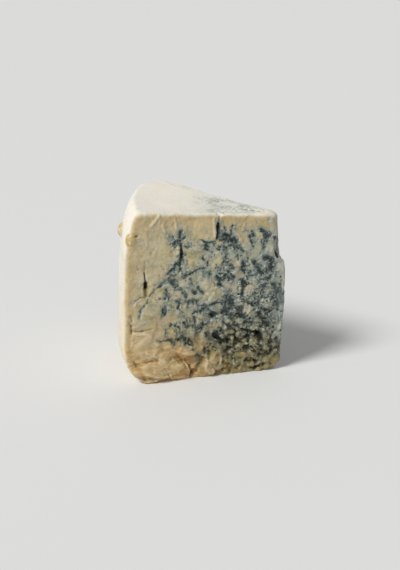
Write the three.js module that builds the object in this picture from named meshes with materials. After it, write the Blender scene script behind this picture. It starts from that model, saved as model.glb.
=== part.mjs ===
// A wedge of blue cheese: one eighth of a round, cut from the rind to the middle and standing on its base.
// Millimetres, +Z up. The origin is at the middle of the base, the front cut runs along X and faces -Y, and
// the point of the wedge, which was the middle of the round, is at +X.
//
// The surface is one closed grid. Columns run round the wedge in plan: rind, cut, point, cut and rind again.
// Rows run from the middle of the base, out to its edge, up the sides and in to the middle of the top.
// Each point is then moved along its normal by the relief: curds, crevices, ledges and needle holes.

import * as THREE from "three";

// ---- The round and the cut ----
const RADIUS = 125; // of the round
const RIM_HEIGHT = 134.5; // at the rind
const MIDDLE_HEIGHT = 124.5; // at the middle of the round, where its top has sunk
const ANGLE = THREE.MathUtils.degToRad(45); // between the two cuts
const SHOULDER = { across: 11, down: 46 }; // the rind's rounding into the top
const FOOT = { across: 20, up: 30 }; // the rind's rounding into the base
const CUT_EDGE = 3; // rounding of a cut into the top and the base
const CORNER = 3.2; // rounding between a cut and the rind
const POINT = [[0, 3.4], [9, 1.4], [62, 1.5], [84, 2.3], [88, 2.6], [92.5, 5], [125, 7]]; // height, radius
const TIP_AXIS = new THREE.Vector2(63.74, -42.84); // where the two cuts would meet, in plan

// ---- The grid ----
const COLUMNS = { rind: 8, corner: 2, cut: 40, point: 2 }; // in each half of the outline
const EDGE_ROWS = 4; // in each rounded edge, top and bottom
const SIDE_ROWS = 39; // between those edges
const TOP_RINGS = 6;
const BASE_RINGS = 1;
const RINGS_MEET = 0.62 * RADIUS; // where the rings of the top and of the base meet, from the tip axis

// ---- The relief, all in millimetres ----
const SWELL = { size: 42, height: 1.1 }; // slow unevenness all over
const SKIN = { size: 11, height: 0.35 }; // dimples of the rind and the top
const WARP = { size: 9, reach: 3.2 }; // how far the curds are pressed out of shape
const LUMPS = { size: 21, step: 1, tilt: 0.12, gap: 6, depth: 0.3 }; // curds that stick together in lumps
const CURDS = { size: 10, step: 0.7, tilt: 0.2, gap: 6, depth: 1.1 }; // which a torn cut breaks between
const GAPS = { size: 15, spread: 0.3 }; // stretches of gap that are open
const CALM = 0.12; // share of the relief that is left where the knife cut clean
const FIRM = { at: [106, 6], reach: [50, 38], share: 0.8, onBack: 0.5 }; // firmer paste, by the rind's foot
const RAGGED = { height: 9, depth: 1.8, size: 9 }; // the crumbled lower edge of a cut

// Needle channels, cracks and hollows that the cuts open: each runs between two points of the cut, given as
// distance from the tip axis and height.
const FRONT_CHANNELS = [
  { from: [111, 96], to: [108.7, 70], width: 2.6, depth: 1.6 },
  { from: [84, 112], to: [84, 99], width: 3, depth: 1.4 },
  { from: [84, 99], to: [91, 86], width: 3, depth: 1.3 },
  { from: [55.4, 124], to: [57, 108], width: 3, depth: 2 },
  { from: [36.5, 90], to: [35.6, 66], width: 2.6, depth: 1.2 },
  { from: [119.5, 54], to: [118.6, 41], width: 2.8, depth: 1.2 },
  { from: [114, 44], to: [108, 43], width: 2.6, depth: 0.9 },
  { from: [56, 33], to: [46, 30], width: 4.4, depth: 2.6 },
  { from: [37, 31], to: [21, 31], width: 5, depth: 2.8 },
  { from: [70.8, 0], to: [64, 18], width: 4.4, depth: 2.6 },
  { from: [24, 2], to: [15, 5], width: 4.4, depth: 2.2 },
];
const BACK_CHANNELS = [
  { from: [97, 108], to: [96, 85], width: 2.8, depth: 1.4 },
  { from: [66, 74], to: [67, 62], width: 2.6, depth: 1.3 },
  { from: [40, 121], to: [40.6, 109], width: 2.6, depth: 1.2 },
  { from: [84, 34], to: [74, 28], width: 3, depth: 1.4 },
  { from: [26, 44], to: [32, 30], width: 4, depth: 2 },
  { from: [58, 0], to: [61, 16], width: 4.2, depth: 2 },
  { from: [112, 30], to: [96, 26], width: 2.6, depth: 0.9 },
];
// Curds left standing proud of the cuts.
const FRONT_PLATES = [
  { at: [108, 29], half: [11, 9], height: 1 },
  { at: [96, 11], half: [21, 7], height: 1.3 },
  { at: [56, 10], half: [9, 8], height: 1.4 },
  { at: [66, 116], half: [10, 10], height: 0.6 },
  { at: [29, 53], half: [11, 4.5], height: 0.8 },
];
const BACK_PLATES = [
  { at: [92, 10], half: [18, 8], height: 1.2 },
  { at: [104, 34], half: [10, 8], height: 0.9 },
  { at: [40, 12], half: [12, 8], height: 1.2 },
  { at: [84, 118], half: [14, 8], height: 0.5 },
];
// A smear of paste stuck to the rind, a knob at the corner of the cut, a pit in the worn point, and the far
// corner of the top, which is pressed down.
const DABS = [
  { at: [-RADIUS + 2.4, 22, 115], size: [6, 8, 7.5], height: 3.6 },
  { at: [-RADIUS + 3.4, 1, 113.6], size: [4.4, 4, 5.4], height: 1.3 },
  { at: [-10, 1.2, 100], size: [3.2, 4.5, 8], height: -2.8 },
  { at: [-88.4, 88.4, 136], size: [24, 24, 22], height: -3.4 },
];

const { lerp, smoothstep, clamp } = THREE.MathUtils;

// A steady number from 0 to 1 for each corner of a lattice.
function hash(i, j, k) {
  const wave = Math.sin(i * 127.1 + j * 311.7 + k * 74.7) * 43758.5453;
  return wave - Math.floor(wave);
}

// Smooth noise from -1 to 1 at a point, with one lattice step as its grain: the corners' numbers, blended.
function smoothNoise(x, y, z) {
  const [i, j, k] = [Math.floor(x), Math.floor(y), Math.floor(z)];
  const ease = (t) => t * t * (3 - 2 * t);
  const [u, v, w] = [ease(x - i), ease(y - j), ease(z - k)];
  const along = (b, c) => lerp(hash(i, j + b, k + c), hash(i + 1, j + b, k + c), u);
  const across = (c) => lerp(along(0, c), along(1, c), v);
  return 2 * lerp(across(0), across(1), w) - 1;
}

// Smooth noise over the wedge with a grain of that size, in layers, each twice as fine as the last and half
// as high. A shift gives another pattern.
function noise(p, size, shift = 0, layers = 1) {
  let [total, weight] = [0, 0];
  for (let n = 0; n < layers; n++) {
    const at = (v, offset) => (v / size + offset + shift) * 2 ** n + 17.3 * n;
    total += smoothNoise(at(p.x, 11), at(p.y, 5), at(p.z, 3)) / 2 ** n;
    weight += 1 / 2 ** n;
  }
  return total / weight;
}

// Curds that fill space, one seed to each lattice cell. border is how much nearer the nearest seed is than
// the next one, which is 0 between two curds. own is the nearest curd's own number from -1 to 1, and lean is
// how far the point lies up the curd's own slope.
function curdAt(x, y, z) {
  const [ci, cj, ck] = [Math.floor(x), Math.floor(y), Math.floor(z)];
  const curd = { nearest: Infinity, second: Infinity, own: 0, lean: 0 };
  for (let i = ci - 1; i <= ci + 1; i++)
    for (let j = cj - 1; j <= cj + 1; j++)
      for (let k = ck - 1; k <= ck + 1; k++) {
        const [dx, dy, dz] = [
          x - i - 0.1 - 0.8 * hash(i, j, k),
          y - j - 0.1 - 0.8 * hash(j + 7, k, i),
          z - k - 0.1 - 0.8 * hash(k + 13, i, j),
        ];
        const away = Math.hypot(dx, dy, dz);
        if (away < curd.nearest) {
          const turn = 2 * Math.PI * hash(k, i + 5, j);
          curd.second = curd.nearest;
          curd.nearest = away;
          curd.own = 2 * hash(i + 3, j + 5, k + 9) - 1;
          curd.lean = (dx + dy) * Math.cos(turn) + dz * Math.sin(turn);
        } else curd.second = Math.min(curd.second, away);
      }
  return { border: curd.second - curd.nearest, own: curd.own, lean: curd.lean };
}

// Curds as relief: each stands up or back by its own share of the step and slopes its own way, and a gap runs
// between them where gaps are open.
function curdRelief(p, { size, step, tilt, gap, depth }, open, shift) {
  const { border, own, lean } = curdAt(p.x / size + shift, p.y / size + shift, p.z / size + shift);
  const inside = smoothstep(border * size, 0, gap);
  return inside * (step * own + tilt * size * lean) * lerp(0.4, 1, open) - depth * (1 - inside) * open;
}

// 1 where a cut tore between the curds, down to CALM where the knife went through clean, which is high up
// and towards the rind.
function tornShare(s, z) {
  const low = 1 - smoothstep(z + 24 * smoothstep(s, 88, 112), 15, 72);
  const inner = (1 - smoothstep(s, 25, 95)) * (1 - smoothstep(z, 60, 130));
  return clamp(CALM + 0.8 * low + 0.4 * inner, 0, 1);
}

// The relief of a torn cut: curds pressed out of shape, alone and in lumps.
function tornRelief(p, s, onFront) {
  const warp = [31, 57, 83].map((shift) => WARP.reach * noise(p, WARP.size, shift, 2));
  const pressed = (share) => p.clone().addScaledVector(new THREE.Vector3(...warp), share);
  const open = smoothstep(noise(p, GAPS.size, 91), -GAPS.spread, GAPS.spread);
  const ring = Math.hypot((s - FIRM.at[0]) / FIRM.reach[0], (p.z - FIRM.at[1]) / FIRM.reach[1]);
  const loose = 1 - FIRM.share * (onFront ? 1 : FIRM.onBack) * (1 - smoothstep(ring, 0.55, 1.1));
  return curdRelief(pressed(1.6), LUMPS, 1, 80) + loose * curdRelief(pressed(1), CURDS, open, 0);
}

// Distance from (s, z) to the segment of a channel.
function distanceTo({ from, to }, s, z) {
  const [run, rise] = [to[0] - from[0], to[1] - from[1]];
  const t = clamp(((s - from[0]) * run + (z - from[1]) * rise) / (run * run + rise * rise), 0, 1);
  return Math.hypot(s - from[0] - t * run, z - from[1] - t * rise);
}

// What a cut shows at set places: channels let in, and plates of curd that stand proud.
function placedDetail(channels, plates, s, z) {
  let out = 0;
  for (const c of channels) out -= c.depth * (1 - smoothstep(distanceTo(c, s, z), 0, c.width));
  for (const { at, half, height } of plates) {
    const ring = Math.hypot((s - at[0]) / half[0], (z - at[1]) / half[1]);
    out += height * (1 - smoothstep(ring, 0.65, 1.2));
  }
  return out;
}

// How far a point of the surface moves out along its normal. p is the point from the tip axis, and cut is 1
// on a cut and 0 on the rind, the top and the base.
function relief(p, cut, onFront) {
  let out = SWELL.height * noise(p, SWELL.size) + SKIN.height * (1 - cut) * noise(p, SKIN.size);
  if (cut > 0) {
    const s = Math.hypot(p.x, p.y);
    const thin = smoothstep(s, 0, 22); // the point is too thin for the full relief
    out += cut * tornShare(s, p.z) * lerp(0.35, 1, thin) * tornRelief(p, s, onFront);
    const lowEdge = 1 - smoothstep(p.z, 0, RAGGED.height);
    out -= cut * lowEdge * RAGGED.depth * (0.5 + 0.5 * noise(p, RAGGED.size));
    const marks = onFront ? [FRONT_CHANNELS, FRONT_PLATES] : [BACK_CHANNELS, BACK_PLATES];
    out += cut * placedDetail(...marks, s, p.z);
  }
  for (const { at, size, height } of DABS) {
    const away = Math.hypot(...[p.x, p.y, p.z].map((v, i) => (v - at[i]) / size[i]));
    out += height * (1 - smoothstep(away, 0.35, 1));
  }
  return out;
}

// The columns of one half of the outline, from the middle of the rind to the nose of the point.
function halfColumns() {
  const list = [];
  for (const [piece, count] of Object.entries(COLUMNS))
    for (let n = 0; n < count; n++) list.push({ piece, t: n / count });
  return list;
}

// A column's place in plan, with the cut let in by inset: an arc of the rind, a quarter circle, a straight
// line or the arc of the point.
function planPoint({ piece, t }, radius, inset, point) {
  const half = ANGLE / 2;
  const heart = (inset + point) / Math.sin(half); // from the tip axis to the centre of the point's arc
  const cornerX = -Math.sqrt((radius - CORNER) ** 2 - (inset + CORNER) ** 2);
  const cornerTurn = Math.asin((inset + CORNER) / (radius - CORNER));
  if (piece === "rind") {
    const turn = lerp(half, cornerTurn, t);
    return new THREE.Vector2(-radius * Math.cos(turn), radius * Math.sin(turn));
  }
  if (piece === "corner") {
    const turn = lerp(Math.PI - cornerTurn, 1.5 * Math.PI, t);
    return new THREE.Vector2(
      cornerX + CORNER * Math.cos(turn),
      inset + CORNER + CORNER * Math.sin(turn),
    );
  }
  if (piece === "cut") return new THREE.Vector2(lerp(cornerX, -heart * Math.cos(half), t), inset);
  const turn = lerp(-Math.PI / 2, -half, t);
  return new THREE.Vector2(
    -heart * Math.cos(half) + point * Math.cos(turn),
    inset + point + point * Math.sin(turn),
  );
}

// A whole outline at one height: the front half, then its mirror image in the wedge's middle plane.
function planOutline(radius, inset, point) {
  const axis = new THREE.Vector2(-Math.cos(ANGLE / 2), Math.sin(ANGLE / 2));
  const mirrored = (p) => axis.clone().multiplyScalar(2 * p.dot(axis)).sub(p);
  const columns = halfColumns();
  const place = (c) => planPoint(c, radius, inset, point);
  const nose = { piece: "point", t: 1 };
  return [
    ...columns.map(place),
    ...[nose, ...columns.slice(1).reverse()].map((c) => mirrored(place(c))),
  ];
}

// The share of each column that is cut rather than rind, and whether it is on the front.
function columnKinds() {
  const share = { rind: () => 0, corner: (t) => t, cut: () => 1, point: () => 1 };
  const front = halfColumns().map(({ piece, t }) => share[piece](t));
  return [
    ...front.map((cut) => ({ cut, onFront: true })),
    { cut: 1, onFront: false },
    ...front.slice(1).reverse().map((cut) => ({ cut, onFront: false })),
  ];
}

// How far a quarter ellipse has come in, from 0 where it starts to across at its end.
function ellipseInset(along, reach, across) {
  const t = clamp(along / reach, 0, 1);
  return across * (1 - Math.sqrt(1 - t * t));
}

// Heights of the rows up the sides, on a wedge of rim height: close together in the rounded edges.
function sideHeights() {
  const edge = (n) => CUT_EDGE * (n / EDGE_ROWS) ** 2;
  const list = [];
  for (let n = 0; n < EDGE_ROWS; n++) list.push(edge(n));
  for (let n = 0; n <= SIDE_ROWS; n++) list.push(lerp(CUT_EDGE, RIM_HEIGHT - CUT_EDGE, n / SIDE_ROWS));
  for (let n = EDGE_ROWS - 1; n >= 0; n--) list.push(RIM_HEIGHT - edge(n));
  return list;
}

// The radius of the point at a height: its profile's values, joined by straight lines.
function pointRadius(height) {
  const above = POINT.findIndex(([z]) => z >= height);
  if (above < 1) return POINT.at(above)[1];
  const [[z0, r0], [z1, r1]] = [POINT[above - 1], POINT[above]];
  return lerp(r0, r1, (height - z0) / (z1 - z0));
}

// The height of the sunken top at a distance from the tip axis.
const topHeight = (rho) => lerp(MIDDLE_HEIGHT, RIM_HEIGHT, clamp(rho / RADIUS, 0, 1));

// One row of the side, as points from the tip axis.
function sideRow(height) {
  const shoulder = ellipseInset(height - (RIM_HEIGHT - SHOULDER.down), SHOULDER.down, SHOULDER.across);
  const foot = ellipseInset(FOOT.up - height, FOOT.up, FOOT.across);
  const inset =
    ellipseInset(height - (RIM_HEIGHT - CUT_EDGE), CUT_EDGE, CUT_EDGE) +
    ellipseInset(CUT_EDGE - height, CUT_EDGE, CUT_EDGE);
  const point = pointRadius((height / RIM_HEIGHT) * MIDDLE_HEIGHT);
  return planOutline(RADIUS - shoulder - foot, inset, point).map(
    (p) => new THREE.Vector3(p.x, p.y, (height / RIM_HEIGHT) * topHeight(p.length())),
  );
}

// Rings from the edge of a face in towards its middle, at share 0 on the edge and 1 in the middle.
function faceRing(edgeRow, middle, share, heightAt) {
  return edgeRow.map((p) => {
    const q = p.clone().lerp(middle, share);
    return q.setZ(heightAt(Math.hypot(q.x, q.y)));
  });
}

// The rows of the whole grid from the base to the top, without the two middle points.
function gridRows(middle) {
  const sides = sideHeights().map(sideRow);
  const rows = [];
  for (let n = BASE_RINGS; n >= 1; n--)
    rows.push({ points: faceRing(sides[0], middle, n / (BASE_RINGS + 1), () => 0), side: 0 });
  for (const points of sides) rows.push({ points, side: 1 });
  for (let n = 1; n <= TOP_RINGS; n++)
    rows.push({ points: faceRing(sides.at(-1), middle, n / (TOP_RINGS + 1), topHeight), side: 0 });
  return rows;
}

// Triangles of a grid that closes on itself sideways and ends in a middle point below and above.
function gridIndex(rowCount, columnCount) {
  const at = (row, column) => 1 + row * columnCount + (column % columnCount);
  const last = 1 + rowCount * columnCount;
  const index = [];
  for (let c = 0; c < columnCount; c++) index.push(0, at(0, c + 1), at(0, c));
  for (let r = 0; r + 1 < rowCount; r++)
    for (let c = 0; c < columnCount; c++) {
      index.push(at(r, c), at(r, c + 1), at(r + 1, c + 1));
      index.push(at(r, c), at(r + 1, c + 1), at(r + 1, c));
    }
  for (let c = 0; c < columnCount; c++)
    index.push(at(rowCount - 1, c), at(rowCount - 1, c + 1), last);
  return index;
}

function wedgeGeometry() {
  const kinds = columnKinds();
  const middle = new THREE.Vector3(-Math.cos(ANGLE / 2), Math.sin(ANGLE / 2), 0).multiplyScalar(RINGS_MEET);
  const rows = gridRows(middle);
  const top = middle.clone().setZ(topHeight(RINGS_MEET));
  const points = [middle, ...rows.flatMap((row) => row.points), top];
  const geometry = new THREE.BufferGeometry().setFromPoints(points);
  geometry.setIndex(gridIndex(rows.length, kinds.length));
  geometry.computeVertexNormals();

  const normals = geometry.getAttribute("normal");
  const position = geometry.getAttribute("position");
  const normal = new THREE.Vector3();
  points.forEach((p, n) => {
    const row = rows[Math.floor((n - 1) / kinds.length)];
    const kind = kinds[(n - 1) % kinds.length];
    const inside = n === 0 || n === points.length - 1;
    const cut = inside ? 0 : kind.cut * row.side;
    normal.fromBufferAttribute(normals, n);
    normal.z *= smoothstep(p.z, 0, CUT_EDGE); // at the base, points only move sideways
    const moved = p.clone().addScaledVector(normal, relief(p, cut, !inside && kind.onFront));
    position.setXYZ(n, moved.x + TIP_AXIS.x, moved.y + TIP_AXIS.y, moved.z);
  });
  geometry.computeVertexNormals();
  return geometry;
}

const cheese = new THREE.MeshStandardMaterial({ color: 0xb9a885, roughness: 0.55, metalness: 0 });
const wedge = new THREE.Mesh(wedgeGeometry(), cheese);
wedge.name = "cheese_wedge";

const part = new THREE.Group();
part.add(wedge);

export default part;
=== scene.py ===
import math

import bpy
import numpy as np
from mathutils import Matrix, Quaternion, Vector


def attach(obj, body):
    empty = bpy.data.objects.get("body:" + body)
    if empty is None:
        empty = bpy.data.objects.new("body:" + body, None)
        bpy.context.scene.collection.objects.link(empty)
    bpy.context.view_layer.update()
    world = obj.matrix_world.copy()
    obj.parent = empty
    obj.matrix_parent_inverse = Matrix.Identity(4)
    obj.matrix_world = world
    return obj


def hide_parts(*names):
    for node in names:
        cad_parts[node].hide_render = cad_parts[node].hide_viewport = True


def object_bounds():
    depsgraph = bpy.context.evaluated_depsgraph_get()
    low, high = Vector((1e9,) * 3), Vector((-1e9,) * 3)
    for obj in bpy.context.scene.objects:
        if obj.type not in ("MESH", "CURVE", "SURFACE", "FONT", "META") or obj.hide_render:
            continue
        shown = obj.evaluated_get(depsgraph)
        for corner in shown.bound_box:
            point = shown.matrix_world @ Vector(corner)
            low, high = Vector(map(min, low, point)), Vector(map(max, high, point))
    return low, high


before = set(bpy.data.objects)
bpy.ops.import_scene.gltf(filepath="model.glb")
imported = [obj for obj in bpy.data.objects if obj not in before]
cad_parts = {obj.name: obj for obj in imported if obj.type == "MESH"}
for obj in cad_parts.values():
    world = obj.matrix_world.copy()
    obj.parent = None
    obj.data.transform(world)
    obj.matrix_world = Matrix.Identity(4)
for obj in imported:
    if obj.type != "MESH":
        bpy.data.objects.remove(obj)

cad_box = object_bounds()

# --------------------------------------------------
# The round and the cut: an eighth of a tall round of blue cheese, with a rind that rounds over into the top
# and the foot, two flat cuts, and the thin edge that was the round's middle. It is one closed grid in mm.
# Its columns run round the wedge in plan, and its rows from the middle of the base to that of the top.
# --------------------------------------------------
RADIUS = 125.0
RIM_HEIGHT = 134.5
MIDDLE_HEIGHT = 124.5  # the top has sunk towards the round's middle
ANGLE = math.radians(45)
SHOULDER_ACROSS, SHOULDER_DOWN = 11.0, 46.0
FOOT_ACROSS, FOOT_UP = 20.0, 30.0
CUT_EDGE = 3.0  # radius of the edges of the cuts, at the top and the base
CORNER = 3.2  # radius of the upright corners between the cuts and the rind
POINT_HEIGHTS = [0, 9, 62, 84, 88, 92.5, 125]
POINT_RADII = [3.4, 1.4, 1.5, 2.3, 2.6, 5.0, 7.0]  # how worn the thin edge is at each of those heights
TIP_AXIS = np.array([63.74, -42.84, 0.0])  # where the round's own axis stands
HEART = 0.62 * RADIUS  # from the tip axis to the middle of the base and of the top

COLUMNS = {"rind": 34, "corner": 6, "cut": 168, "point": 8}  # in each half of the outline
EDGE_ROWS = 7
SIDE_ROWS = 168
TOP_RINGS = 34
BASE_RINGS = 3


def smoothstep(x, low, high):
    """0 below low, 1 above high, and 3t^2 - 2t^3 between them, with t the share of the way."""
    t = np.clip((x - low) / (high - low), 0, 1)
    return t * t * (3 - 2 * t)


def fading(x, low, high):
    """1 below low and 0 above high: what the smooth step leaves of 1."""
    return 1 - smoothstep(x, low, high)


def ellipse_inset(along, reach, across):
    """How far a quarter ellipse has come in: 0 where it starts, and across at its end, after reach."""
    t = np.clip(along / reach, 0, 1)
    return across * (1 - np.sqrt(1 - t * t))


def top_height(rho):
    """The height of the sunken top at rho from the tip axis: a straight slope up to the rind."""
    return MIDDLE_HEIGHT + (RIM_HEIGHT - MIDDLE_HEIGHT) * np.clip(rho / RADIUS, 0, 1)


def rind_radius(level):
    """The round's radius at a level: full in the middle, less the shoulder's and the foot's ellipses."""
    shoulder = ellipse_inset(level - (RIM_HEIGHT - SHOULDER_DOWN), SHOULDER_DOWN, SHOULDER_ACROSS)
    return RADIUS - shoulder - ellipse_inset(FOOT_UP - level, FOOT_UP, FOOT_ACROSS)


def half_outline(radius, inset, point):
    """The front half of each row's outline, as (x, y) grids: an arc of the rind, a quarter circle at its
    corner, the straight cut and half the arc of the point."""
    radius, inset, point = radius[:, None], inset[:, None], point[:, None]
    half = ANGLE / 2
    heart = (inset + point) / math.sin(half)
    corner_x = -np.sqrt((radius - CORNER) ** 2 - (inset + CORNER) ** 2)
    corner_turn = np.arcsin((inset + CORNER) / (radius - CORNER))
    t = {piece: np.arange(count)[None, :] / count for piece, count in COLUMNS.items()}
    rind = half + (corner_turn - half) * t["rind"]
    corner = (math.pi - corner_turn) + (math.pi / 2 + corner_turn) * t["corner"]
    nose = -math.pi / 2 + (math.pi / 2 - half) * t["point"]
    x = [
        -radius * np.cos(rind),
        corner_x + CORNER * np.cos(corner),
        corner_x + (-heart * math.cos(half) - corner_x) * t["cut"],
        -heart * math.cos(half) + point * np.cos(nose),
        -heart * math.cos(half) + point * math.cos(-half),
    ]
    y = [
        radius * np.sin(rind),
        inset + CORNER + CORNER * np.sin(corner),
        inset + 0 * t["cut"],
        inset + point + point * np.sin(nose),
        inset + point + point * math.sin(-half),
    ]
    return np.concatenate(x, 1), np.concatenate(y, 1)


def face_rings(edge_row, shares, middle, height):
    """Rings of a face: its edge row shrunk towards the middle by each share, at the height of the place."""
    plan = edge_row[None, :, :2] + (middle - edge_row[None, :, :2]) * shares[:, None, None]
    rho = np.hypot(plan[:, :, 0], plan[:, :, 1])
    return np.concatenate([plan, height(rho)[:, :, None]], 2)


def wedge_grid():
    """The smooth wedge as a (rows, columns, 3) grid from the tip axis. Rows lie close together in the rounded
    edges of the cuts. The front half of each outline is mirrored in the wedge's middle plane."""
    edge = CUT_EDGE * (np.arange(EDGE_ROWS) / EDGE_ROWS) ** 2
    middle_rows = np.linspace(CUT_EDGE, RIM_HEIGHT - CUT_EDGE, SIDE_ROWS + 1)
    level = np.concatenate([edge, middle_rows, RIM_HEIGHT - edge[::-1]])
    inset = ellipse_inset(level - (RIM_HEIGHT - CUT_EDGE), CUT_EDGE, CUT_EDGE)
    inset = inset + ellipse_inset(CUT_EDGE - level, CUT_EDGE, CUT_EDGE)
    point = np.interp(level / RIM_HEIGHT * MIDDLE_HEIGHT, POINT_HEIGHTS, POINT_RADII)
    x, y = half_outline(rind_radius(level), inset, point)
    axis = np.array([-math.cos(ANGLE / 2), math.sin(ANGLE / 2)])
    along = x * axis[0] + y * axis[1]
    back_x, back_y = 2 * along * axis[0] - x, 2 * along * axis[1] - y
    x = np.concatenate([x, back_x[:, -2:0:-1]], 1)
    y = np.concatenate([y, back_y[:, -2:0:-1]], 1)
    sides = np.stack([x, y, level[:, None] / RIM_HEIGHT * top_height(np.hypot(x, y))], 2)
    base_shares = np.arange(BASE_RINGS, 0, -1) / (BASE_RINGS + 1)
    top_shares = np.arange(1, TOP_RINGS + 1) / (TOP_RINGS + 1)
    base = face_rings(sides[0], base_shares, HEART * axis, lambda rho: 0 * rho)
    top = face_rings(sides[-1], top_shares, HEART * axis, top_height)
    return np.concatenate([base, sides, top])


def cut_share():
    """1 on the two cuts, 0 on the rind, the top and the base, and between them round the corners; and the
    same for the front cut alone."""
    corner = np.arange(COLUMNS["corner"]) / COLUMNS["corner"]
    half = np.concatenate([np.zeros(COLUMNS["rind"]), corner, np.ones(COLUMNS["cut"] + COLUMNS["point"] + 1)])
    around = np.concatenate([half, half[-2:0:-1]])
    front = np.where(np.arange(len(around)) < len(half) - 1, around, 0)
    side_rows = 2 * EDGE_ROWS + SIDE_ROWS + 1
    side = np.concatenate([np.zeros(BASE_RINGS), np.ones(side_rows), np.zeros(TOP_RINGS)])
    return side[:, None] * around[None, :], side[:, None] * front[None, :]


def grid_normals(grid):
    """Unit normals of a grid that closes on itself sideways: the cross product of the way to the next column
    and the way to the next row."""
    across = np.roll(grid, -1, 1) - np.roll(grid, 1, 1)
    normal = np.cross(across, np.gradient(grid, axis=0))
    return normal / np.maximum(np.linalg.norm(normal, axis=2, keepdims=True), 1e-9)


smooth = wedge_grid()
cut, front = cut_share()
s, z = np.hypot(smooth[..., 0], smooth[..., 1]), smooth[..., 2]  # distance from the tip axis, and height

# --------------------------------------------------
# The paste.
# Curds pressed together, with gaps between them. The knife goes through clean near the rind and high up.
# Lower down and towards the middle the paste is short, and tears between its curds instead.
# --------------------------------------------------
SWELL_SIZE, SWELL_HEIGHT = 42.0, 1.1
SKIN_SIZE, SKIN_HEIGHT = 11.0, 0.35
WARP_SIZE, WARP_REACH = 9.0, 3.2
LUMP_SIZE, LUMP_STEP, LUMP_TILT = 21.0, 1.0, 0.12
CURD_SIZE, CURD_STEP, CURD_TILT, CURD_GAP, CURD_DEPTH = 10.0, 0.7, 0.2, 3.4, 1.7
CRUMB_SIZE, CRUMB_STEP, CRUMB_TILT, CRUMB_GAP, CRUMB_DEPTH = 4.4, 0.35, 0.22, 1.8, 0.8
FLAKE_SIZE, FLAKE_SQUASH, FLAKE_STEP, FLAKE_TILT = 19.0, np.array([1, 1, 2.0]), 0.26, 0.055
CRAG_SIZE, CRAG_HEIGHT = 5.0, 0.5
GRAIN_SIZE, GRAIN_HEIGHT = 2.4, 0.4
STREAK_SIZE, STREAK_HEIGHT = 4.0, 0.9
LEDGE_SIZE, LEDGES, LEDGE_HEIGHT = 17.0, 3.0, 0.9
CALM = 0.12  # share of the relief that is left where the knife cut clean
# How far the tearing goes: fading out between two heights, which drop towards the rind, and between two
# distances from the tip axis.
TEAR_BELOW, TEAR_DROP, TEAR_DROP_AT = (15, 72), 24, (88, 112)
INNER_TEAR_BELOW, INNER_TEAR_AT = (60, 130), (25, 95)
CRUMBLY_BELOW, CRUMBLY_AT = (30, 60), (50, 90)
THIN_AT, THIN_SHARE = (0, 22), 0.35  # the thin edge keeps that share
FIRM_MIDDLE, FIRM_REACH, FIRM_SHARE = (106, 6), (50, 38), 0.93  # firmer paste, by the foot of the rind
RAGGED_HEIGHT, RAGGED_DEPTH, RAGGED_SIZE = 9.0, 1.8, 9.0  # the foot of the cuts, ragged from the board


def steady(i, j, k):
    """A steady number from 0 to 1 for each whole i, j and k: the fraction of a large sine of their sum."""
    wave = np.sin(i * 127.1 + j * 311.7 + k * 74.7) * 43758.5453
    return wave - np.floor(wave)


def smooth_noise(p):
    """Smooth noise from -1 to 1: the steady numbers of the lattice cell's eight corners, blended."""
    cell = np.floor(p)
    t = p - cell
    t = t * t * (3 - 2 * t)
    total = 0
    for corner in np.ndindex(2, 2, 2):
        share = np.prod(np.where(corner, t, 1 - t), axis=-1)
        total = total + share * steady(*np.moveaxis(cell + corner, -1, 0))
    return 2 * total - 1


def noise(size, shift=0.0, layers=1, squash=1):
    """Smooth noise all over the wedge with a grain of that size, in layers, each twice as fine as the last
    and half as high. A shift gives another pattern, and a squash flattens the grain along each axis."""
    at = smooth * squash / size + np.array([11, 5, 3]) + shift
    total = sum(smooth_noise(at * 2**n + 17.3 * n) / 2**n for n in range(layers))
    return total / sum(1 / 2**n for n in range(layers))


def curds(p):
    """Curds that fill space, one seed to each lattice cell. The border is how much nearer the nearest seed is
    than the next one, own is the nearest curd's own number from -1 to 1, and lean is how far the point
    lies up that curd's own slope."""
    cell = np.floor(p)
    nearest = np.full(p.shape[:-1], np.inf)
    second, own, lean = nearest.copy(), np.zeros_like(nearest), np.zeros_like(nearest)
    for offset in np.ndindex(3, 3, 3):
        i, j, k = np.moveaxis(cell + offset - 1, -1, 0)
        seed = np.stack([steady(i, j, k), steady(j + 7, k, i), steady(k + 13, i, j)], -1)
        away = p - np.stack([i, j, k], -1) - 0.1 - 0.8 * seed
        distance = np.linalg.norm(away, axis=-1)
        turn = 2 * math.pi * steady(k, i + 5, j)
        slope = (away[..., 0] + away[..., 1]) * np.cos(turn) + away[..., 2] * np.sin(turn)
        closer = distance < nearest
        second = np.where(closer, nearest, np.minimum(second, distance))
        own = np.where(closer, 2 * steady(i + 3, j + 5, k + 9) - 1, own)
        lean = np.where(closer, slope, lean)
        nearest = np.where(closer, distance, nearest)
    return second - nearest, own, lean


def torn_share(s, z):
    """1 where the cut tore between the curds, low down and towards the middle, and CALM where it is clean."""
    low = fading(z + TEAR_DROP * smoothstep(s, *TEAR_DROP_AT), *TEAR_BELOW)
    inner = fading(s, *INNER_TEAR_AT) * fading(z, *INNER_TEAR_BELOW)
    return np.clip(CALM + 0.8 * low + 0.3 * inner, 0, 1)


def reaches_away(place, middle, reach):
    """How far a place is from the middle, counted in reaches along each axis: 1 all round an ellipse."""
    return np.sqrt(sum(((at - m) / r) ** 2 for at, m, r in zip(place, middle, reach)))


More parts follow.
